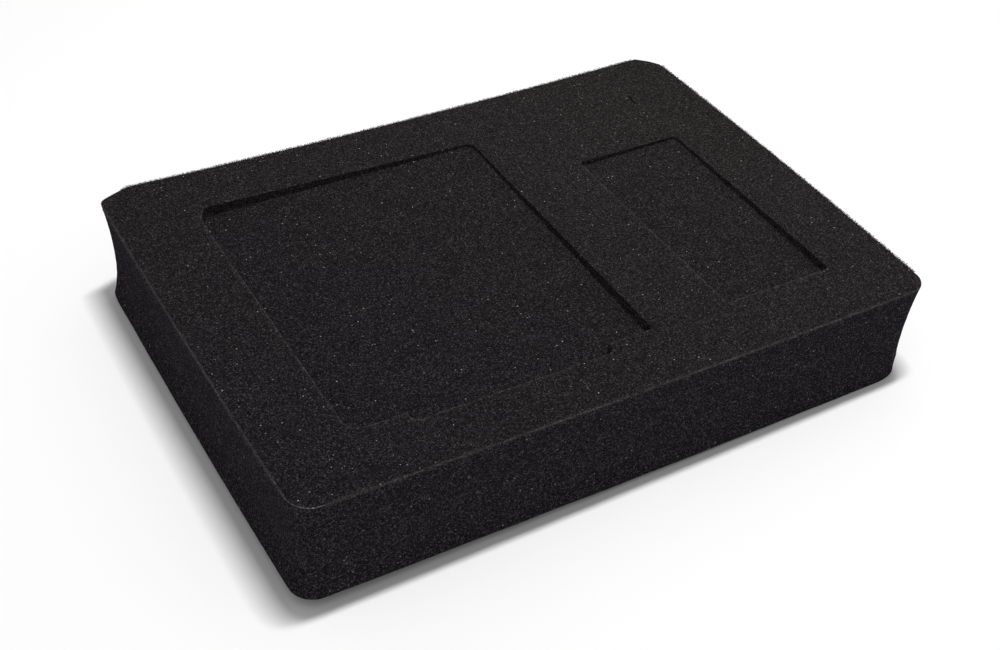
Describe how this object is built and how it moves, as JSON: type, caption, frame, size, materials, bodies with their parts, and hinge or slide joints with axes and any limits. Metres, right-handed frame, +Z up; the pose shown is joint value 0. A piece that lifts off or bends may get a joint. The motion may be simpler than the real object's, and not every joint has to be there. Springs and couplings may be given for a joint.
{
  "type": "case foam insert",
  "caption": "Slab of open-cell foam that fills the bottom of a hard case, with shallow pockets in its top face that hold a device and its accessory.",
  "frame": {"origin": "middle of the flat base of the slab", "axes": "+Z up out of the pocketed top face, +X along the long side towards the narrow pocket, -Y towards the front side, which the step in the wide pocket faces"},
  "size_m": [0.302, 0.219, 0.05],
  "materials": {
    "foam": "matte open-cell polyurethane foam, charcoal black, with fine glinting cells"
  },
  "bodies": {
    "root": {"foam_insert": "foam"}
  },
  "joints": []
}
